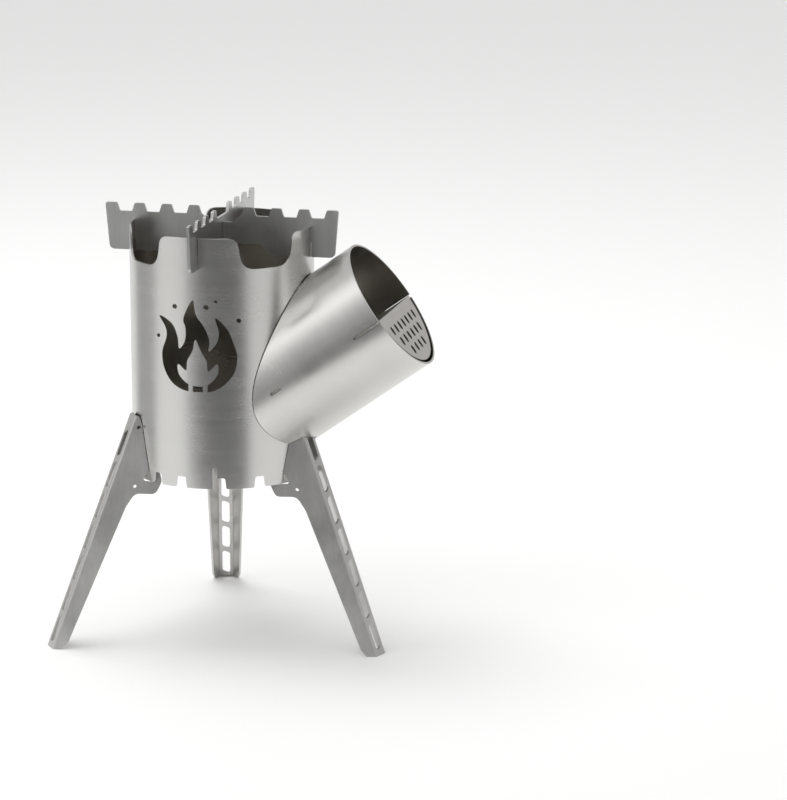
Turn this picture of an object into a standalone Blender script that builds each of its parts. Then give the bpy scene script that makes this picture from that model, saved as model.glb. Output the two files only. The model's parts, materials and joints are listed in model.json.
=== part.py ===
"""Plug-together sheet-metal rocket stove: crowned tube, slanted feed tube, pot support, three legs, grate.

Metres, +Z up, feet on Z = 0. The feed tube points along +X and the decorated side faces -Y.
"""
import bmesh
import bpy
import math
from mathutils import Matrix, Vector

# ---- driving sizes -------------------------------------------------------------------------------
TUBE_R = 0.065            # main tube, outside radius
TUBE_H = 0.177            # main tube, height
SHEET = 0.0015            # sheet thickness of tubes, legs, shelf and grate
PLATE_T = 0.0020          # sheet thickness of the pot support plates
STAND_H = 0.1185          # underside of the main tube above the floor
FEED_R = 0.0492           # feed tube, outside radius
FEED_SHIFT = -0.0055      # feed axis beside the main axis
FEED_TILT = math.radians(35.4)    # feed tube axis above the horizontal
FEED_CROSS = 0.0370       # feed axis meets the main axis this far above the tube's lower edge
FEED_REACH = 0.1525       # main axis to the mouth, along the feed axis
PLATE_HALF = 0.085        # pot support plates, half length
PLATE_RISE = 0.0118       # plate teeth above the main tube's upper edge
PLATE_DEEP = 0.0335       # plate height at its ends
LEG_SLOPE = 0.397         # leg web, outward run per unit of drop
LEG_OUT = 0.0160           # leg's outer face beyond the main tube, at LEG_WEB_Z
LEG_WEB_Z = 0.0125        # above the tube's lower edge
LEG_WEB_HALF = 0.0060     # half width of the outer face, between the folds
LEG_SPLAY = math.radians(30)      # each flange away from the radial direction
GAP = 0.0003              # working gap between touching pieces
SADDLE_GAP = 0.0008       # between the feed tube's saddle edge and the main tube
FIT = 0.0006              # total play of a sheet in its slot

# ---- derived sizes -------------------------------------------------------------------------------
Z0 = STAND_H
LEG_WEB_R = TUBE_R + LEG_OUT
BORE_R = TUBE_R - SHEET
FEED_BORE = FEED_R - SHEET
TONGUE_R = FEED_BORE - 0.0017
OPENING_R = TONGUE_R + GAP
TONGUE_HALF = math.radians(10)
SHELF_DROP = 0.0032       # shelf upper face below the feed axis
SHELF_SLOT = 0.022        # length of the mouth slots
SHELF_WING = 0.0075       # length of the shelf's side lugs, at the front
PERF_PITCH = 0.0105       # between the slots of the shelf's front
PERF_HALF_W = 0.0022
PERF_HALF_H = 0.0034
LOBE_AZ = (0, 90, 180, 270)
CUT_AZ = (45, 135, 225, 315)
CROWN_DEPTH = 0.022
CROWN_TOP_HALF = 0.0222   # crown opening: half width at its top and bottom, and the corner radii
CROWN_LOW_HALF = 0.0188
CROWN_LIP_R = 0.0068
CROWN_LOW_R = 0.0110
CROWN_TOOL_HALF = 0.0360
SEAT_HALF_W = 0.0016      # slit in the tube's lower edge, near the front
SEAT_H = 0.0155
SEAT_AZ = 10
FLAME_MID = 0.101         # middle of the flame above the tube's lower edge
BAR_SIDE = 0.0052         # the two bars that hold the flame's core
BAR_HALF_W = 0.0016
POCKET_CLEAR = 0.0009     # room round the top of the leg that enters the feed tube's underside
POCKET_IN = 0.055
TONGUE_IN = 0.016         # tongue: from this far inside the wall to this far outside it
TONGUE_OUT = 0.018
TONGUE_STEP = 0.010
AIR_SLOT = (0.0575, 0.0665)    # short slots in the feed tube's sides, along its axis
HOLE_R = 0.0045           # grate holes
HOLE_RINGS = ((6, 0.0165), (12, 0.0320), (18, 0.0470))
MM = 0.001
LEG_AZ = (("leg_left", -54), ("leg_right", 70.5), ("leg_back", 195.5))
NOTCH_H = 0.0078
NOTCH_W = 0.0085
NOTCH_STEPS = (-38, -20, 5, 30)   # degrees, from half way between two legs
LEG_TIP_Z = 0.0445
HOOK_TOP = 0.0145
HOOK_LOW = -0.0088
HOOK_R = BORE_R - 0.0031
RUNG_PITCH = 0.0217
GRATE_R = BORE_R - 0.0012
WALL_SLOT = 0.0112        # depth of the slots in the crown that take the plates
TOOTH_PITCH = PLATE_HALF / 4.25
TOOTH_H = 0.006
SEGMENTS = 128


def clear_scene():
    for old in list(bpy.data.objects):
        bpy.data.objects.remove(old, do_unlink=True)


def steel(name, colour, rough):
    mat = bpy.data.materials.new(name)
    mat.use_nodes = True
    shader = mat.node_tree.nodes["Principled BSDF"]
    shader.inputs["Base Color"].default_value = (*colour, 1.0)
    shader.inputs["Metallic"].default_value = 1.0
    shader.inputs["Roughness"].default_value = rough
    return mat


def add_object(name, mesh_bm):
    bmesh.ops.recalc_face_normals(mesh_bm, faces=mesh_bm.faces)
    mesh = bpy.data.meshes.new(name)
    mesh_bm.to_mesh(mesh)
    mesh_bm.free()
    obj = bpy.data.objects.new(name, mesh)
    bpy.context.scene.collection.objects.link(obj)
    return obj


def boolean(target, tool, operation):
    mod = target.modifiers.new("cut", "BOOLEAN")
    mod.operation = operation
    mod.solver = "EXACT"
    mod.object = tool
    graph = bpy.context.evaluated_depsgraph_get()
    done = bpy.data.meshes.new_from_object(target.evaluated_get(graph))
    target.modifiers.clear()
    target.data = done
    bpy.data.objects.remove(tool, do_unlink=True)


def cut(target, tool):
    boolean(target, tool, "DIFFERENCE")


def join(target, tool):
    boolean(target, tool, "UNION")


def ring_solid(name, r_out, r_in, low, high, segments=SEGMENTS, turn=0.0):
    """Tube about Z, or a solid cylinder when r_in is zero."""
    bm = bmesh.new()
    loops = []
    radii = [(r_out, low), (r_out, high)]
    if r_in > 0:
        radii += [(r_in, high), (r_in, low)]
    for radius, z in radii:
        ring = []
        for i in range(segments):
            a = 2 * math.pi * i / segments + turn
            ring.append(bm.verts.new((radius * math.cos(a), radius * math.sin(a), z)))
        loops.append(ring)
    pairs = [(0, 1)]
    if r_in > 0:
        pairs = [(0, 1), (1, 2), (2, 3), (3, 0)]
    for a, b in pairs:
        for i in range(segments):
            j = (i + 1) % segments
            bm.faces.new((loops[a][i], loops[a][j], loops[b][j], loops[b][i]))
    if r_in <= 0:
        bm.faces.new(loops[0])
        bm.faces.new(loops[1])
    return add_object(name, bm)


def prism(name, outline, place_low, place_high):
    """Closed prism: each outline point is placed twice, by two functions."""
    bm = bmesh.new()
    lows = [bm.verts.new(place_low(*p)) for p in outline]
    highs = [bm.verts.new(place_high(*p)) for p in outline]
    count = len(outline)
    for i in range(count):
        j = (i + 1) % count
        bm.faces.new((lows[i], lows[j], highs[j], highs[i]))
    bm.faces.new(lows)
    bm.faces.new(highs)
    return add_object(name, bm)


def rounded(points, radii, steps=4):
    """Round the corners of a polygon. radii is one value or one per corner."""
    count = len(points)
    if not isinstance(radii, (list, tuple)):
        radii = [radii] * count
    out = []
    for i in range(count):
        here = Vector(points[i])
        before = Vector(points[i - 1]) - here
        after = Vector(points[(i + 1) % count]) - here
        angle = before.angle(after)
        if radii[i] <= 0 or angle > math.radians(176):
            out.append(tuple(here))
            continue
        reach = radii[i] / math.tan(angle / 2)
        reach = min(reach, before.length * 0.49, after.length * 0.49)
        start = here + before.normalized() * reach
        end = here + after.normalized() * reach
        for k in range(steps + 1):
            f = k / steps
            p = start * (1 - f) ** 2 + here * 2 * f * (1 - f) + end * f ** 2
            out.append(tuple(p))
    return out


def smooth_loop(points, steps=4):
    """Closed Catmull-Rom curve through the points."""
    count = len(points)
    out = []
    for i in range(count):
        p0 = Vector(points[i - 1])
        p1 = Vector(points[i])
        p2 = Vector(points[(i + 1) % count])
        p3 = Vector(points[(i + 2) % count])
        for k in range(steps):
            t = k / steps
            p = 0.5 * (2 * p1 + (p2 - p0) * t + (2 * p0 - 5 * p1 + 4 * p2 - p3) * t * t
                       + (3 * p1 - p0 - 3 * p2 + p3) * t ** 3)
            out.append(tuple(p))
    return out


def circle(x, z, radius, count=12):
    return [(x + radius * math.cos(2 * math.pi * k / count),
             z + radius * math.sin(2 * math.pi * k / count)) for k in range(count)]


def radial_cutter(name, outline, azimuth, r_near, r_far):
    """Prism that runs outward at an azimuth (0 is -Y, 90 is +X). Outline is (sideways, height)."""
    a = math.radians(azimuth)
    out = Vector((math.sin(a), -math.cos(a), 0))
    side = Vector((math.cos(a), math.sin(a), 0))

    def near(t, z):
        return out * r_near + side * t + Vector((0, 0, z))

    def far(t, z):
        return out * r_far + side * t + Vector((0, 0, z))

    return prism(name, outline, near, far)


# ---- feed tube frame -----------------------------------------------------------------------------
FEED_AXIS = Vector((math.cos(FEED_TILT), 0, math.sin(FEED_TILT)))
FEED_UP = Vector((-math.sin(FEED_TILT), 0, math.cos(FEED_TILT)))
FEED_SIDE = Vector((0, 1, 0))
FEED_ORIGIN = Vector((0, FEED_SHIFT, Z0 + FEED_CROSS))


def feed_point(s, t, v):
    return FEED_ORIGIN + FEED_AXIS * s + FEED_SIDE * t + FEED_UP * v


def feed_polar(s, radius, angle):
    """A point about the feed axis. Angle 0 is along FEED_UP."""
    return feed_point(s, radius * math.sin(angle), radius * math.cos(angle))


def feed_ring(name, r_out, r_in, s_low, s_high, segments=96):
    """Ring about the feed axis, or a solid cylinder when r_in is zero."""
    bm = bmesh.new()
    loops = []
    corners = [(r_out, s_low), (r_out, s_high)]
    if r_in > 0:
        corners += [(r_in, s_high), (r_in, s_low)]
    for radius, s in corners:
        angles = [2 * math.pi * i / segments for i in range(segments)]
        loops.append([bm.verts.new(feed_polar(s, radius, a)) for a in angles])
    pairs = [(0, 1)]
    if r_in > 0:
        pairs = [(0, 1), (1, 2), (2, 3), (3, 0)]
    for a, b in pairs:
        for i in range(segments):
            j = (i + 1) % segments
            bm.faces.new((loops[a][i], loops[a][j], loops[b][j], loops[b][i]))
    if r_in <= 0:
        bm.faces.new(loops[0])
        bm.faces.new(loops[1])
    return add_object(name, bm)


def feed_arc(name, profile, half, centre, steps=10):
    """An arc about the feed axis of a section given as (radius, along). Angle 0 is along FEED_UP."""
    bm = bmesh.new()
    loops = []
    for radius, s in profile:
        angles = [centre - half + 2 * half * i / steps for i in range(steps + 1)]
        loops.append([bm.verts.new(feed_polar(s, radius, a)) for a in angles])
    count = len(loops)
    for k in range(count):
        after = loops[(k + 1) % count]
        for i in range(steps):
            bm.faces.new((loops[k][i], loops[k][i + 1], after[i + 1], after[i]))
    bm.faces.new([ring[0] for ring in loops])
    bm.faces.new([ring[-1] for ring in loops])
    return add_object(name, bm)


# ---- main tube -----------------------------------------------------------------------------------
def crown_outline():
    top = Z0 + TUBE_H
    low = top - CROWN_DEPTH
    right = [(CROWN_LOW_HALF, low), (CROWN_TOP_HALF, top), (CROWN_TOOL_HALF, top)]
    right.append((CROWN_TOOL_HALF, top + 0.004))
    left = [(-x, z) for x, z in reversed(right)]
    return rounded(left + right, [0, 0, CROWN_LIP_R, CROWN_LOW_R, CROWN_LOW_R, CROWN_LIP_R, 0, 0], 6)


def notch_outline(width, height):
    half = width / 2
    low = Z0
    pts = [(-half - 0.0028, low - 0.004), (-half - 0.0028, low), (-half, low), (-half + 0.0009, low + height)]
    pts += [(half - 0.0009, low + height), (half, low), (half + 0.0028, low), (half + 0.0028, low - 0.004)]
    return rounded(pts, [0, 0, 0.0014, 0.0014, 0.0014, 0.0014, 0, 0], 3)


def flame_outlines():
    """A plain three-tongued flame, the bar that keeps its core attached, and sparks."""
    outer = [(0, -32), (-11, -31), (-20, -26), (-26, -16), (-27, -5), (-23.5, 5), (-24, 12), (-29, 20)]
    outer += [(-19, 15.5), (-14.5, 6), (-13.5, -2), (-9, 4), (-8.5, 13), (-10, 20), (-3, 33), (-1, 23)]
    outer += [(5, 14), (8.5, 5), (8, -3), (13.5, 3), (15, 11), (12.5, 21), (20.5, 13), (24.5, 3), (27, -7)]
    outer += [(25, -18), (19, -26), (11, -31)]
    core = [(0, -28), (-8, -26), (-14, -20), (-14.5, -13), (-8.5, -17), (-7.5, -10), (-3.5, -3), (-1.5, 5)]
    core += [(3, -4), (6.5, -10), (7.5, -17), (13.5, -12), (14, -19), (8, -26)]
    sparks = [(-16.5, 27.5, 1.8), (6.5, 28.0, 1.9), (13.0, 32.0, 1.3), (-30.0, 5.5, 1.4), (28.0, 18.5, 1.7)]
    return outer, core, sparks


def cut_flame(tube):
    middle = Z0 + FLAME_MID
    outer, core, sparks = flame_outlines()
    shape = smooth_loop([(x * MM, middle + z * MM) for x, z in outer], 4)
    tool = radial_cutter("flame_tool", shape, 0, 0.040, 0.080)
    island = smooth_loop([(x * MM, middle + z * MM) for x, z in core], 4)
    keep = radial_cutter("core_tool", island, 0, 0.035, 0.085)
    cut(tool, keep)
    low = middle - 0.036
    high = middle - 0.022
    for side in (-BAR_SIDE, BAR_SIDE):
        bar = [(side - BAR_HALF_W, low), (side + BAR_HALF_W, low)]
        bar += [(side + BAR_HALF_W, high), (side - BAR_HALF_W, high)]
        cut(tool, radial_cutter("bar_tool", bar, 0, 0.034, 0.086))
    cut(tube, tool)
    for x, z, r in sparks:
        ring = circle(x * MM, middle + z * MM, r * MM)
        cut(tube, radial_cutter("spark_tool", ring, 0, 0.040, 0.080))


def make_main_tube():
    tube = ring_solid("main_tube", TUBE_R, BORE_R, Z0, Z0 + TUBE_H)
    for azimuth in CUT_AZ:
        cut(tube, radial_cutter("crown_tool", crown_outline(), azimuth, 0.030, 0.090))
    half = (PLATE_T + FIT) / 2
    top = Z0 + TUBE_H
    slot = [(-half, top - WALL_SLOT - GAP), (half, top - WALL_SLOT - GAP)]
    slot += [(half, top + 0.005), (-half, top + 0.005)]
    for azimuth in LOBE_AZ:
        cut(tube, radial_cutter("slot_tool", slot, azimuth, 0.050, 0.080))
    legs = [azimuth for name, azimuth in LEG_AZ]
    for start, end in zip(legs, legs[1:] + [legs[0] + 360]):
        for step in NOTCH_STEPS:
            outline = notch_outline(NOTCH_W, NOTCH_H)
            cut(tube, radial_cutter("vent_tool", outline, (start + end) / 2 + step, 0.050, 0.080))
    slit = [(-SEAT_HALF_W, Z0 - 0.004), (SEAT_HALF_W, Z0 - 0.004)]
    slit += [(SEAT_HALF_W, Z0 + SEAT_H), (-SEAT_HALF_W, Z0 + SEAT_H)]
    slit = rounded(slit, [0, 0, SEAT_HALF_W * 0.9, SEAT_HALF_W * 0.9], 3)
    cut(tube, radial_cutter("slit_tool", slit, SEAT_AZ, 0.050, 0.090))
    cut(tube, feed_ring("opening_tool", OPENING_R, 0, 0.020, 0.130))
    cut_flame(tube)
    return tube


# ---- feed tube -----------------------------------------------------------------------------------
def leg_pocket(azimuth):
    """Room for the top of a leg in the underside of the feed tube, open towards the saddle."""
    a = math.radians(azimuth)
    out = Vector((math.sin(a), -math.cos(a), 0))
    side = Vector((math.cos(a), math.sin(a), 0))
    bm = bmesh.new()
    layers = []
    for z in (0.004, LEG_TIP_Z + 0.0015):
        face = web_radius(z) + POCKET_CLEAR
        near = LEG_WEB_HALF + POCKET_CLEAR
        far = near + (face - POCKET_IN) * math.tan(LEG_SPLAY)
        corners = [(face, near), (POCKET_IN, far), (POCKET_IN, -far), (face, -near)]
        layers.append([bm.verts.new(out * r + side * t + Vector((0, 0, Z0 + z))) for r, t in corners])
    for i in range(4):
        j = (i + 1) % 4
        bm.faces.new((layers[0][i], layers[0][j], layers[1][j], layers[1][i]))
    bm.faces.new(layers[0])
    bm.faces.new(layers[1])
    return add_object("pocket_tool", bm)


def make_feed_tube():
    tube = feed_ring("feed_tube", FEED_R, FEED_BORE, 0.010, FEED_REACH)
    cut(tube, ring_solid("saddle_tool", TUBE_R + SADDLE_GAP, 0, Z0 - 0.1, Z0 + 0.4))
    for centre in (0.0, math.pi):
        rise = FEED_R * math.tan(FEED_TILT)
        wall = TUBE_R / math.cos(FEED_TILT) + (-rise if centre else rise)
        deep = TONGUE_R - SHEET
        skin = FEED_R - SHEET * 0.3
        low, step, high = wall - TONGUE_IN, wall + TONGUE_STEP, wall + TONGUE_OUT
        section = [(deep, low), (TONGUE_R, low), (TONGUE_R, step), (skin, step), (skin, high), (deep, high)]
        tongue = feed_arc("tongue", section, TONGUE_HALF, centre)
        cut(tongue, ring_solid("inner_tool", BORE_R + GAP, 0, Z0 - 0.1, Z0 + 0.4))
        join(tube, tongue)
    half = (SHEET + FIT) / 2
    mid = -SHELF_DROP - SHEET / 2
    for side in (-1, 1):
        t0 = side * (FEED_R - 0.006)
        t1 = side * (FEED_R + 0.004)
        for s0, s1 in ((FEED_REACH - SHELF_SLOT - GAP, FEED_REACH + 0.01), AIR_SLOT):
            box = [(s0, mid - half), (s1, mid - half), (s1, mid + half), (s0, mid + half)]
            radii = [0.0008, 0, 0, 0.0008] if s1 > FEED_REACH else 0.0008
            tool = prism("side_tool", rounded(box, radii, 2), lambda s, v: feed_point(s, t0, v),
                         lambda s, v: feed_point(s, t1, v))
            cut(tube, tool)
    cut(tube, leg_pocket(LEG_AZ[1][1]))
    return tube


# ---- shelf with its perforated front -------------------------------------------------------------
def shelf_outline():
    half = math.sqrt(FEED_BORE ** 2 - (SHELF_DROP + SHEET) ** 2) - 0.0004
    front = FEED_REACH - 0.0010
    wing = FEED_REACH - SHELF_WING
    right = [(front, half + 0.0030), (wing, half + 0.0030), (wing, half), (0.030, half)]
    left = [(s, -t) for s, t in reversed(right)]
    return rounded(right + left, [0.0022, 0.0008, 0, 0, 0, 0, 0.0008, 0.0022], 3)


def front_slots():
    """Three rows of short upright slots, seven, six and four."""
    slots = []
    for v, count in ((-0.0150, 7), (-0.0245, 6), (-0.0340, 4)):
        for i in range(count):
            slots.append(((i - (count - 1) / 2) * PERF_PITCH, v))
    return slots


def make_shelf():
    low = -SHELF_DROP - SHEET
    outline = shelf_outline()
    shelf = prism("fuel_shelf", outline, lambda s, t: feed_point(s, t, low),
                  lambda s, t: feed_point(s, t, -SHELF_DROP))
    radius = FEED_BORE - 0.0022
    front = FEED_REACH - 0.0006
    start = math.acos((SHELF_DROP + 0.0004) / radius)
    arc = []
    for i in range(33):
        a = -start + 2 * start * i / 32
        arc.append((radius * math.sin(a), -radius * math.cos(a)))
    flange = prism("flange", arc, lambda t, v: feed_point(front - SHEET, t, v),
                   lambda t, v: feed_point(front, t, v))
    for t0, v0 in front_slots():
        w = PERF_HALF_W
        h = PERF_HALF_H
        box = [(t0 - w, v0 - h), (t0 + w, v0 - h), (t0 + w, v0 + h), (t0 - w, v0 + h)]
        tool = prism("perf", rounded(box, PERF_HALF_W * 0.95, 2), lambda t, v: feed_point(front - 0.01, t, v),
                     lambda t, v: feed_point(front + 0.01, t, v))
        cut(flange, tool)
    join(shelf, flange)
    cut(shelf, ring_solid("rear_tool", TUBE_R + 0.0012, 0, Z0 - 0.1, Z0 + 0.4))
    return shelf


# ---- legs ----------------------------------------------------------------------------------------
def web_radius(z):
    """Radius of a leg's outer face at a height above the tube's lower edge."""
    return LEG_WEB_R + (LEG_WEB_Z - z) * LEG_SLOPE


def wall_reach(z, radius):
    """Distance along a flange, from its fold to a circle of the given radius."""
    face = web_radius(z)
    along = face * math.cos(LEG_SPLAY) - LEG_WEB_HALF * math.sin(LEG_SPLAY)
    return along - math.sqrt(along ** 2 - (face ** 2 + LEG_WEB_HALF ** 2 - radius ** 2))


def leg_waste():
    """What is cut from each flange, as (distance from its fold, height above the tube's lower edge)."""
    foot = -STAND_H
    outside = TUBE_R - SHEET * 0.25
    inside = TUBE_R - SHEET * 0.75
    pts = [(0.0010, LEG_TIP_Z + 0.006), (0.0010, LEG_TIP_Z + 0.001), (0.0042, LEG_TIP_Z - 0.002)]
    pts += [(wall_reach(z, outside), z) for z in (0.036, 0.028, 0.018, 0.0095)]
    pts += [(0.0212, 0.0010), (0.0230, -GAP), (wall_reach(-GAP, inside), -GAP)]
    pts += [(wall_reach(HOOK_TOP, inside), HOOK_TOP), (wall_reach(HOOK_TOP, HOOK_R), HOOK_TOP)]
    pts += [(wall_reach(0, HOOK_R), 0), (wall_reach(0, HOOK_R) - 0.001, HOOK_LOW), (0.0190, HOOK_LOW)]
    pts += [(0.0160, -0.0185), (0.0094, foot + 0.0045), (0.0060, foot - 0.001), (0.0060, foot - 0.006)]
    pts += [(0.060, foot - 0.006), (0.060, LEG_TIP_Z + 0.006)]
    radii = [0, 0, 0.002, 0, 0, 0, 0.001, 0.0015, 0.0008, 0, 0, 0.001, 0.004, 0.0035, 0.005, 0.006, 0.005]
    radii += [0, 0, 0, 0]
    return rounded(pts, radii, 4)


def leg_slot(centre):
    half_h = 0.0089
    w = 0.0029
    slant = -0.0013
    box = [(-w, centre - half_h + slant), (w, centre - half_h - slant)]
    box += [(w, centre + half_h - slant), (-w, centre + half_h + slant)]
    return rounded([(t, Z0 + z) for t, z in box], 0.0020, 3)


def leg_section(wide):
    """Closed outline of the folded channel, as (depth from the outer face, sideways)."""
    c = math.cos(LEG_SPLAY)
    s = math.sin(LEG_SPLAY)
    corner = LEG_WEB_HALF + SHEET * (s - 1) / c
    half = [(SHEET, corner), (wide * c + SHEET * s, LEG_WEB_HALF + wide * s - SHEET * c)]
    half += [(wide * c, LEG_WEB_HALF + wide * s), (0, LEG_WEB_HALF)]
    other = [(depth, -t) for depth, t in reversed(half)]
    radii = [0.0006, 0, 0, 0.0018]
    return rounded(half + other, radii + list(reversed(radii)), 3)


def make_leg(name, azimuth):
    a = math.radians(azimuth)
    out = Vector((math.sin(a), -math.cos(a), 0))
    side = Vector((math.cos(a), math.sin(a), 0))
    c = math.cos(LEG_SPLAY)
    s = math.sin(LEG_SPLAY)

    def place(depth, t, z):
        return out * (web_radius(z) - depth) + side * t + Vector((0, 0, Z0 + z))

    leg = prism(name, leg_section(0.045), lambda d, t: place(d, t, -STAND_H),
                lambda d, t: place(d, t, LEG_TIP_Z))
    waste = leg_waste()
    relief = circle(0.0172, -0.0040, 0.0012)
    for hand in (1, -1):
        def on_flange(q, z, lift):
            return place(q * c - lift * s, hand * (LEG_WEB_HALF + q * s + lift * c), z)

        for shape in (waste, relief):
            tool = prism("waste", shape, lambda q, z: on_flange(q, z, 0.001),
                         lambda q, z: on_flange(q, z, -SHEET - 0.0004))
            cut(leg, tool)
    cut(leg, ring_solid("wall_tool", TUBE_R + GAP, BORE_R - GAP, Z0 - GAP, Z0 + 0.1))
    for k in range(7):
        cut(leg, radial_cutter("rung_tool", leg_slot(0.0248 - RUNG_PITCH * k), azimuth, 0.050, 0.160))
    hole_z = LEG_TIP_Z - 0.0075
    hole_d = 0.0044
    cut(leg, prism("hole_tool", circle(hole_d, hole_z, 0.0013), lambda d, z: place(d, -0.02, z),
                   lambda d, z: place(d, 0.02, z)))
    return leg


# ---- grate ---------------------------------------------------------------------------------------
def make_grate():
    low = Z0 + HOOK_TOP + GAP
    grate = ring_solid("grate", GRATE_R, 0, low, low + SHEET, 96)
    spots = [(0.0, 0.0)]
    for count, radius in HOLE_RINGS:
        for i in range(count):
            a = 2 * math.pi * (i + 0.5 * (radius == HOLE_RINGS[1][1])) / count
            spots.append((radius * math.cos(a), radius * math.sin(a)))
    for x, y in spots:
        ring = circle(x, y, HOLE_R, 16)
        cut(grate, prism("hole_tool", ring, lambda u, v: Vector((u, v, low - 0.002)),
                         lambda u, v: Vector((u, v, low + 0.004))))
    return grate


# ---- pot support ---------------------------------------------------------------------------------
def plate_outline(upper):
    """Half-lapped plate as (distance from the centre, height). The upper plate is cut from below."""
    top = Z0 + TUBE_H + PLATE_RISE
    floor = top - TOOTH_H
    low = top - PLATE_DEEP
    shallow = low + 0.0076
    lap = (PLATE_T + FIT) / 2
    middle = (floor - 0.004 + shallow) / 2
    right = []
    for k in range(1, 5):
        centre = TOOTH_PITCH * k
        right.append((centre - 0.0054, floor))
        right.append((centre - 0.0034, top))
        if k < 4:
            right.append((centre + 0.0034, top))
            right.append((centre + 0.0054, floor))
    right.append((PLATE_HALF, top))
    end = [(PLATE_HALF - 0.0028, low)]
    wall_low = TUBE_R - SHEET - 0.0003
    wall_high = TUBE_R + 0.0003
    slot_top = Z0 + TUBE_H - WALL_SLOT
    wall = [(wall_high, low), (wall_high, slot_top), (wall_low, slot_top), (wall_low, low)]
    step = [(0.0345, low), (0.0290, shallow)]
    if upper:
        centre_top = [(0.0145, floor), (0.0110, floor - 0.0005)]
        centre_low = [(lap, shallow), (lap, middle + GAP)]
    else:
        centre_top = [(0.0140, floor), (0.0080, floor - 0.0050), (lap + 0.0045, floor - 0.0050)]
        centre_top = centre_top + [(lap, floor - 0.0050), (lap, middle)]
        centre_low = []
    half = list(reversed(centre_top)) + right + end + wall + step + centre_low
    radii = [0] * len(centre_top) + [0.0011] * len(right) + [0.004] + [0.0006] * 4 + [0.004, 0.004]
    radii += [0] * len(centre_low)
    radii[len(centre_top) + len(right) - 1] = 0.0018
    if not upper:
        radii[2] = 0.0012
        radii[3] = 0.0030
        radii[4] = 0.0030
    other = [(-x, z) for x, z in reversed(half)]
    return rounded(half + other, radii + list(reversed(radii)), 3)


def make_plate(name, upper):
    outline = plate_outline(upper)
    along = Vector((0, 1, 0)) if upper else Vector((1, 0, 0))
    across = Vector((1, 0, 0)) if upper else Vector((0, 1, 0))

    def near(x, z):
        return along * x - across * (PLATE_T / 2) + Vector((0, 0, z))

    def far(x, z):
        return along * x + across * (PLATE_T / 2) + Vector((0, 0, z))

    return prism(name, outline, near, far)


def stand_on_origin(objects):
    """Move everything so that the middle of the underside of the whole object is at the origin."""
    corners = [obj.matrix_world @ v.co for obj in objects for v in obj.data.vertices]
    low = Vector([min(c[k] for c in corners) for k in range(3)])
    high = Vector([max(c[k] for c in corners) for k in range(3)])
    shift = Vector((-(low.x + high.x) / 2, -(low.y + high.y) / 2, -low.z))
    for obj in objects:
        obj.location += shift


def finish(obj, material, origin):
    bpy.context.view_layer.update()
    obj.data.transform(Matrix.Translation(-origin))
    obj.location = origin
    obj.data.materials.clear()
    obj.data.materials.append(material)
    bm = bmesh.new()
    bm.from_mesh(obj.data)
    bmesh.ops.remove_doubles(bm, verts=bm.verts, dist=0.00001)
    bmesh.ops.dissolve_degenerate(bm, dist=0.00001, edges=bm.edges)
    bmesh.ops.triangulate(bm, faces=bm.faces)
    bm.to_mesh(obj.data)
    bm.free()
    obj.data.shade_smooth()
    obj.data.set_sharp_from_angle(angle=math.radians(25))
    return obj


def main():
    clear_scene()
    tube_steel = steel("brushed_steel", (0.62, 0.61, 0.60), 0.32)
    feed_steel = steel("feed_steel", (0.66, 0.65, 0.63), 0.28)
    shelf_steel = steel("shelf_steel", (0.62, 0.59, 0.56), 0.42)
    plate_steel = steel("plate_steel", (0.45, 0.45, 0.45), 0.40)
    leg_steel = steel("leg_steel", (0.52, 0.52, 0.52), 0.48)
    grate_steel = steel("grate_steel", (0.42, 0.40, 0.38), 0.50)
    axis_top = Vector((0, 0, Z0 + TUBE_H))
    mouth = feed_point(FEED_REACH, 0, 0)
    made = [finish(make_main_tube(), tube_steel, Vector((0, 0, Z0)))]
    made.append(finish(make_feed_tube(), feed_steel, mouth))
    made.append(finish(make_shelf(), shelf_steel, mouth))
    for name, azimuth in LEG_AZ:
        a = math.radians(azimuth)
        foot = Vector((math.sin(a), -math.cos(a), 0)) * web_radius(-STAND_H)
        made.append(finish(make_leg(name, azimuth), leg_steel, foot))
    made.append(finish(make_grate(), grate_steel, Vector((0, 0, Z0 + HOOK_TOP))))
    made.append(finish(make_plate("pot_support_lower", False), plate_steel, axis_top))
    made.append(finish(make_plate("pot_support_upper", True), plate_steel, axis_top))
    bpy.context.view_layer.update()
    stand_on_origin(made)


main()
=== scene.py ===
"""Looks for the plug-together steel rocket stove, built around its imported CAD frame."""
import bmesh
import bpy
import json
import math
from mathutils import Matrix, Vector


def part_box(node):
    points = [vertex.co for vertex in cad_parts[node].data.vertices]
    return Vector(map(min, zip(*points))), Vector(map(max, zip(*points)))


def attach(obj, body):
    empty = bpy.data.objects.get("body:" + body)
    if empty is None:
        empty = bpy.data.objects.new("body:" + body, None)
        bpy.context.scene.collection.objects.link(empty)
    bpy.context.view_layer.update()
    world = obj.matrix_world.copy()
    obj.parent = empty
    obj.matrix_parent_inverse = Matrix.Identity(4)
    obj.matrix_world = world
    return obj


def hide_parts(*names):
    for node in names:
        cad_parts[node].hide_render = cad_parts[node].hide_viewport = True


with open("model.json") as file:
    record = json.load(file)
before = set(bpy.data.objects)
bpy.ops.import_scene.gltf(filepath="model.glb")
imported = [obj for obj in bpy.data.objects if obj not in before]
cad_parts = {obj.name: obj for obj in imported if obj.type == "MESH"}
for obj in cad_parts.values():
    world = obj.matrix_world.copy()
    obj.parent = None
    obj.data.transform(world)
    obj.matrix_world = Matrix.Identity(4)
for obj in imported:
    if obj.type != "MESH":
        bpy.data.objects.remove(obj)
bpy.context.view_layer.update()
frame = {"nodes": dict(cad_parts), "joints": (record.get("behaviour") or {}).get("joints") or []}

# ---- where things are, from the CAD ------------------------------------------------------------
TUBE_LOW, TUBE_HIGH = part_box("main_tube")
AXIS = Vector(((TUBE_LOW.x + TUBE_HIGH.x) / 2, (TUBE_LOW.y + TUBE_HIGH.y) / 2, 0.0))
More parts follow.
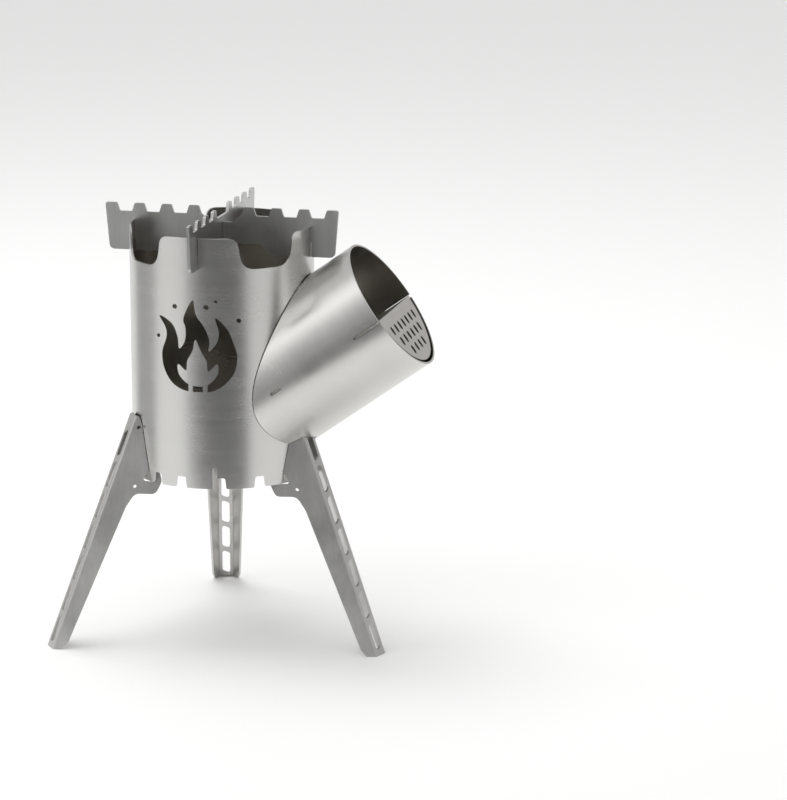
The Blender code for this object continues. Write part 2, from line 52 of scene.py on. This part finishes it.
TUBE_R = (TUBE_HIGH.x - TUBE_LOW.x) / 2
JOINTS = {j["name"]: j for j in frame["joints"]}
FEED_DIR = Vector(JOINTS["feed_tube_slide"]["axis"]).normalized()
UP = Vector((0.0, 0.0, 1.0))

# sizes of the part that the frame doesn't give
SHEET = 0.0015           # sheet thickness
FEED_R = 0.0492          # feed tube, outside radius
FEED_SHIFT = -0.0055     # feed axis beside the main axis
FEED_CROSS = 0.0370      # feed axis meets the main axis this far above the tube's lower edge
FEED_POINT = AXIS + Vector((0.0, FEED_SHIFT, TUBE_LOW.z + FEED_CROSS))

# the camera, round the main axis: 0 is in front of the stove, positive toward the feed tube
VIEW_AZ = math.radians(13.0)
VIEW_EL = math.radians(12.95)
VIEW_FAR = 2.5
LENS = 160.63
AIM_RIGHT = 0.12096      # the point aimed at, to the right of the main axis
AIM_UP = 0.04893         # and above the tube's lower edge
RIGHT = Vector((math.cos(VIEW_AZ), math.sin(VIEW_AZ), 0.0))
TOWARD = Vector((math.sin(VIEW_AZ), -math.cos(VIEW_AZ), 0.0))

# how a face is told apart
WELD = 0.000004          # corners this close are one corner
ON_CURVE = 0.00006       # a point this close to a cylinder lies on it
CURVE_COS = 0.97         # a face on a cylinder looks along its radius, to within this cosine
SAME_COS = 0.995         # faces that look the same way
FLAT_COS = 0.99          # faces that belong to a broad side
BROAD_SHARE = 0.08       # least share of a sheet's area that makes a side broad
INNER_FACE = 0.8         # share of the sheet thickness inside which a wall counts as inner


def local_frame(origin, z_axis):
    """Matrix with the given origin and Z axis, its Y axis level."""
    z = Vector(z_axis).normalized()
    side = Vector((0.0, 1.0, 0.0)) if abs(z.y) < 0.9 else Vector((1.0, 0.0, 0.0))
    y = (side - z * side.dot(z)).normalized()
    x = y.cross(z)
    turn = Matrix((x, y, z)).transposed().to_4x4()
    return Matrix.Translation(origin) @ turn


# ---- meshes ------------------------------------------------------------------------------------
def round_normal(point, normal, cylinders):
    """The true normal at a point of a face, where the face lies on one of the cylinders."""
    for origin, axis, radius in cylinders:
        out = point - origin
        out = out - axis * out.dot(axis)
        if abs(out.length - radius) > ON_CURVE:
            continue
        out.normalize()
        if abs(out.dot(normal)) > CURVE_COS:
            return out if out.dot(normal) > 0 else -out
    return None


def sheet_normals(bm):
    """The directions that the broad faces of a folded sheet look in."""
    found = []
    for face in bm.faces:
        for row in found:
            if abs(row[0].dot(face.normal)) > SAME_COS:
                row[1] += face.calc_area()
                break
        else:
            found.append([face.normal.copy(), face.calc_area()])
    whole = sum(row[1] for row in found)
    return [row[0] for row in found if row[1] > whole * BROAD_SHARE]


def dressed(node, body, mat, place, cylinders=()):
    """A copy of a CAD node in its own axes: curved faces shaded as true curves, cut edges apart.

    Faces on a cylinder or on a broad side of the sheet take mat, and the rest take edge_mat.
    """
    bm = bmesh.new()
    bm.from_mesh(frame["nodes"][node].data)
    bmesh.ops.remove_doubles(bm, verts=bm.verts, dist=WELD)
    bm.normal_update()
    broad = [] if cylinders else sheet_normals(bm)
    loops = []
    for face in bm.faces:
        face.smooth = True
        on_one = None
        for cyl in cylinders:
            if all(round_normal(v.co, face.normal, (cyl,)) for v in face.verts):
                on_one = (cyl,)
                break
        flat = any(abs(n.dot(face.normal)) > FLAT_COS for n in broad)
        face.material_index = 0 if on_one or flat else 1
        for v in face.verts:
            found = round_normal(v.co, face.normal, on_one) if on_one else None
            loops.append(found or face.normal.copy())
    mesh = bpy.data.meshes.new(node + "_steel")
    bm.to_mesh(mesh)
    bm.free()
    mesh.normals_split_custom_set([tuple(n) for n in loops])
    mesh.transform(place.inverted())
    obj = bpy.data.objects.new(node + "_steel", mesh)
    obj.matrix_world = place
    bpy.context.scene.collection.objects.link(obj)
    mesh.materials.clear()
    mesh.materials.append(mat)
    mesh.materials.append(edge_mat)
    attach(obj, body)
    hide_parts(node)
    return obj


# ---- materials ---------------------------------------------------------------------------------
class Nodes:
    """Small helper that adds shader nodes to a tree and joins them."""

    def __init__(self, tree):
        self.tree = tree
        self.shader = tree.nodes.get("Principled BSDF")

    def add(self, kind, **props):
        node = self.tree.nodes.new(kind)
        for key, value in props.items():
            setattr(node, key, value)
        return node

    def put(self, socket, value):
        if hasattr(value, "is_output"):
            self.tree.links.new(value, socket)
        else:
            socket.default_value = value

    def math(self, op, a, b=0.0, c=None, clamp=False):
        node = self.add("ShaderNodeMath", operation=op, use_clamp=clamp)
        self.put(node.inputs[0], a)
        self.put(node.inputs[1], b)
        if c is not None:
            self.put(node.inputs[2], c)
        return node.outputs[0]

    def coords(self, scale):
        where = self.add("ShaderNodeTexCoord")
        stretch = self.add("ShaderNodeMapping")
        stretch.inputs["Scale"].default_value = scale
        self.put(stretch.inputs["Vector"], where.outputs["Object"])
        return stretch.outputs["Vector"]

    def noise(self, scale, detail=2.0, rough=0.5):
        node = self.add("ShaderNodeTexNoise")
        node.inputs["Scale"].default_value = 1.0
        node.inputs["Detail"].default_value = detail
        node.inputs["Roughness"].default_value = rough
        self.put(node.inputs["Vector"], self.coords(scale))
        return node.outputs["Fac"]

    def ramp(self, value, stops):
        node = self.add("ShaderNodeValToRGB")
        band = node.color_ramp
        while len(band.elements) > 1:
            band.elements.remove(band.elements[-1])
        band.elements[0].position = stops[0][0]
        band.elements[0].color = (*stops[0][1], 1.0)
        for position, colour in stops[1:]:
            band.elements.new(position).color = (*colour, 1.0)
        self.put(node.inputs["Fac"], value)
        return node.outputs["Color"]

    def mix(self, share, a, b, blend="MIX"):
        node = self.add("ShaderNodeMix", data_type="RGBA", blend_type=blend)
        self.put(node.inputs[0], share)
        self.put(node.inputs[6], a)
        self.put(node.inputs[7], b)
        return node.outputs[2]


def brushed(name, colour, rough, grain, streak=0.10, blotch=0.08, aniso=0.6, tangent="Z",
            bump=0.05, inner=None):
    """Brushed stainless steel.

    grain is the noise scale along the part's own three axes, and the streaks run along the
    smallest. streak and blotch are how far the grain and the clouds change the colour.
    """
    mat = bpy.data.materials.new(name)
    mat.use_nodes = True
    n = Nodes(mat.node_tree)
    fine = n.noise(grain, 5.0, 0.72)
    coarse = n.noise(tuple(g * 0.22 for g in grain), 2.0, 0.5)
    cloud = n.noise((28.0, 28.0, 28.0), 3.0, 0.55)
    lines = n.math("MULTIPLY_ADD", fine, 0.6, n.math("MULTIPLY", coarse, 0.4))
    shade = n.math("MULTIPLY_ADD", n.math("SUBTRACT", lines, 0.5), streak * 4.0, 1.0)
    shade = n.math("MULTIPLY_ADD", n.math("SUBTRACT", cloud, 0.5), blotch * 3.0, shade)
    tone = n.add("ShaderNodeCombineColor")
    for i in range(3):
        n.put(tone.inputs[i], shade)
    base = n.mix(1.0, (*colour, 1.0), tone.outputs[0], "MULTIPLY")
    if inner:
        base = inner(n, base)
    n.put(n.shader.inputs["Base Color"], base)
    n.shader.inputs["Metallic"].default_value = 1.0
    wear = n.math("MULTIPLY_ADD", n.math("SUBTRACT", lines, 0.5), 0.12, rough)
    wear = n.math("MULTIPLY_ADD", n.math("SUBTRACT", cloud, 0.5), 0.15, wear, True)
    n.put(n.shader.inputs["Roughness"], wear)
    n.shader.inputs["Anisotropic"].default_value = aniso
    if tangent:
        around = n.add("ShaderNodeTangent", direction_type="RADIAL", axis=tangent)
        n.put(n.shader.inputs["Tangent"], around.outputs[0])
    relief = n.add("ShaderNodeBump")
    relief.inputs["Strength"].default_value = bump
    relief.inputs["Distance"].default_value = 0.0004
    n.put(relief.inputs["Height"], lines)
    n.put(n.shader.inputs["Normal"], relief.outputs[0])
    return mat


def dark_inside(radius, inner_shade):
    """Inner wall of a tube about the part's own Z axis, darkened by painted shade multiplied into
    its colour.
    """

    def apply(n, base):
        where = n.add("ShaderNodeTexCoord")
        split = n.add("ShaderNodeSeparateXYZ")
        n.put(split.inputs[0], where.outputs["Object"])
        x2 = n.math("MULTIPLY", split.outputs[0], split.outputs[0])
        y2 = n.math("MULTIPLY", split.outputs[1], split.outputs[1])
        r = n.math("SQRT", n.math("ADD", x2, y2))
        inside = n.math("LESS_THAN", r, radius)
        # painted shade: the inner wall's colour is multiplied by the given darker, slightly warm
        # tint
        return n.mix(inside, base, inner_shade, "MULTIPLY")

    return apply


edge_mat = brushed("cut_edge", (0.70, 0.69, 0.67), 0.36, (700.0, 700.0, 700.0), streak=0.05,
                   tangent=None, aniso=0.0)
# the main tube's inner wall takes painted shade, a darker tint multiplied into its colour
tube_mat = brushed("tube_steel", (0.63, 0.625, 0.61), 0.25, (9.0, 9.0, 420.0), streak=0.05,
                   blotch=0.05, bump=0.008,
                   inner=dark_inside(TUBE_R - SHEET * INNER_FACE, (0.86, 0.83, 0.79, 1.0)))
# the feed tube's inner wall takes the same kind of painted shade
feed_mat = brushed("feed_steel", (0.66, 0.65, 0.63), 0.24, (10.0, 10.0, 380.0), streak=0.025,
                   blotch=0.07, bump=0.006,
                   inner=dark_inside(FEED_R - SHEET * INNER_FACE, (0.86, 0.84, 0.81, 1.0)))
shelf_mat = brushed("shelf_steel", (0.60, 0.575, 0.545), 0.34, (500.0, 30.0, 500.0), tangent=None,
                    aniso=0.0)
leg_mat = brushed("leg_steel", (0.62, 0.615, 0.60), 0.38, (500.0, 500.0, 30.0), tangent=None,
                  aniso=0.0)
grate_mat = brushed("grate_steel", (0.42, 0.40, 0.38), 0.42, (40.0, 900.0, 900.0), tangent=None,
                    aniso=0.0)
plate_mat = brushed("plate_steel", (0.57, 0.57, 0.56), 0.34, (900.0, 900.0, 60.0), tangent=None,
                    aniso=0.0)

# ---- pieces ------------------------------------------------------------------------------------
upright = local_frame(AXIS, UP)
slanted = local_frame(FEED_POINT, FEED_DIR)
main_round = [(AXIS, UP, TUBE_R), (AXIS, UP, TUBE_R - SHEET)]
feed_round = [(FEED_POINT, FEED_DIR, FEED_R), (FEED_POINT, FEED_DIR, FEED_R - SHEET)]

dressed("main_tube", "main_tube", tube_mat, upright, main_round + feed_round)
dressed("feed_tube", "feed_tube", feed_mat, slanted, feed_round + main_round)
dressed("fuel_shelf", "fuel_shelf", shelf_mat, slanted)
for leg in ("leg_left", "leg_right", "leg_back"):
    dressed(leg, leg, leg_mat, upright)
dressed("grate", "grate", grate_mat, upright)
for plate in ("pot_support_lower", "pot_support_upper"):
    dressed(plate, plate, plate_mat, upright)


# ---- studio ------------------------------------------------------------------------------------
def stage_sheet(name, corners, height, colour):
    """A flat matt sheet. Corners are (to the right, toward the camera) from the main axis."""
    bm = bmesh.new()
    bm.faces.new([bm.verts.new(AXIS + RIGHT * s + TOWARD * t + UP * height) for s, t in corners])
    bmesh.ops.recalc_face_normals(bm, faces=bm.faces)
    mesh = bpy.data.meshes.new(name)
    bm.to_mesh(mesh)
    bm.free()
    obj = bpy.data.objects.new(name, mesh)
    bpy.context.scene.collection.objects.link(obj)
    mat = bpy.data.materials.new(name)
    mat.use_nodes = True
    shader = mat.node_tree.nodes["Principled BSDF"]
    shader.inputs["Base Color"].default_value = (*colour, 1.0)
    shader.inputs["Roughness"].default_value = 0.65
    shader.inputs["Specular IOR Level"].default_value = 0.2
    mesh.materials.append(mat)
    return obj


def make_floor():
    """A pale floor that ends in front in a wide notch, where the steel mirrors the dark room."""
    reach = 3.0
    front = 0.42
    left = math.tan(math.radians(41.0))
    right = math.tan(math.radians(32.0))
    back = -2.2 * reach
    corners = ((-front * left, front), (front * right, front), (reach * right, reach),
               (reach, reach), (reach, back), (-reach, back), (-reach, reach),
               (-reach * left, reach))
    stage_sheet("studio_floor", corners, 0.0, (0.96, 0.96, 0.955))
    # beside the stove, seen only in the steel
    card_corners = ((-0.42, 0.02), (-0.42, -0.36), (-2.6, -2.2), (-2.6, 0.12))
    card = stage_sheet("grey_card", card_corners, 0.002, (0.42, 0.42, 0.42))
    card.visible_camera = False
    card.visible_shadow = False
    card.visible_diffuse = False


def make_world():
    """A white studio: bright at both sides, dark behind the camera, lit from above.

    The camera sees it as plain white; the steel mirrors the ring of lighter and darker walls.
    """
    world = bpy.data.worlds.new("studio")
    bpy.context.scene.world = world
    world.use_nodes = True
    n = Nodes(world.node_tree)
    back = world.node_tree.nodes["Background"]
    where = n.add("ShaderNodeTexCoord")
    turn = n.add("ShaderNodeMapping", vector_type="POINT")
    turn.inputs["Rotation"].default_value = (0.0, 0.0, -VIEW_AZ)
    n.put(turn.inputs["Vector"], where.outputs["Generated"])
    split = n.add("ShaderNodeSeparateXYZ")
    n.put(split.inputs[0], turn.outputs[0])
    # azimuth from the camera side, positive to its right, as 0..1 with 0.5 at the camera
    flat = n.math("ARCTAN2", split.outputs[0], n.math("MULTIPLY", split.outputs[1], -1.0))
    share = n.math("MULTIPLY_ADD", flat, 1.0 / (2.0 * math.pi), 0.5)
    # brightness of the walls, by azimuth in degrees
    ring = [(-180, 0.80), (-130, 0.60), (-104, 0.35), (-85, 0.60), (-64, 1.45), (-52, 0.90),
            (-41, 0.50), (-31, 0.38), (-25, 0.20), (0, 0.17), (32, 0.18), (38, 0.36), (52, 0.44),
            (64, 0.50), (76, 0.58), (90, 0.55), (110, 0.45), (150, 0.60), (180, 0.80)]
    side = n.ramp(share, [((a + 180.0) / 360.0, (v, v, v)) for a, v in ring])
    high = n.math("ARCSINE", split.outputs[2])
    high = n.math("MULTIPLY_ADD", high, 1.0 / math.pi, 0.5)
    off, on = (0.0, 0.0, 0.0), (1.0, 1.0, 1.0)
    # the walls end and the dome begins; the dome's soft box spans part of the ring, up to a height
    lift = n.ramp(high, [(0.0, off), (0.63, off), (0.69, on), (1.0, on)])
    box = n.ramp(share, [(0.0, off), (0.24, off), (0.31, on), (0.53, on), (0.60, off), (1.0, off)])
    fade = n.ramp(high, [(0.0, on), (0.79, on), (0.86, off), (1.0, off)])
    box = n.mix(1.0, box, fade, "MULTIPLY")
    dome = n.mix(box, (0.66, 0.66, 0.66, 1.0), (1.65, 1.65, 1.65, 1.0))
    sky = n.mix(lift, side, dome)
    seen = n.add("ShaderNodeLightPath")
    colour = n.mix(seen.outputs["Is Camera Ray"], sky, (1.0, 1.0, 1.0, 1.0))
    n.put(back.inputs["Color"], colour)
    back.inputs["Strength"].default_value = 1.0


def soft_box(name, place, aim, size, power):
    """An area light that the steel doesn't mirror."""
    data = bpy.data.lights.new(name, "AREA")
    data.shape = "RECTANGLE"
    data.size, data.size_y = size
    data.energy = power
    obj = bpy.data.objects.new(name, data)
    bpy.context.scene.collection.objects.link(obj)
    obj.location = place
    obj.rotation_mode = "QUATERNION"
    obj.rotation_quaternion = (Vector(aim) - Vector(place)).to_track_quat("-Z", "Y")
    obj.visible_camera = False
    obj.visible_glossy = False


def make_camera():
    toward = TOWARD * math.cos(VIEW_EL) + UP * math.sin(VIEW_EL)
    target = AXIS + RIGHT * AIM_RIGHT + UP * (TUBE_LOW.z + AIM_UP)
    data = bpy.data.cameras.new("camera")
    data.sensor_fit = "HORIZONTAL"
    data.sensor_width = 36.0
    data.lens = LENS
    cam = bpy.data.objects.new("camera", data)
    bpy.context.scene.collection.objects.link(cam)
    cam.location = target + toward * VIEW_FAR
    cam.rotation_mode = "QUATERNION"
    cam.rotation_quaternion = (-toward).to_track_quat("-Z", "Y")
    bpy.context.scene.camera = cam


make_floor()
make_world()
soft_box("top_light", (-0.6, 0.4, 2.1), (0.0, 0.0, 0.1), (1.5, 1.5), 21.0)
make_camera()
bpy.context.scene.view_settings.view_transform = "Standard"
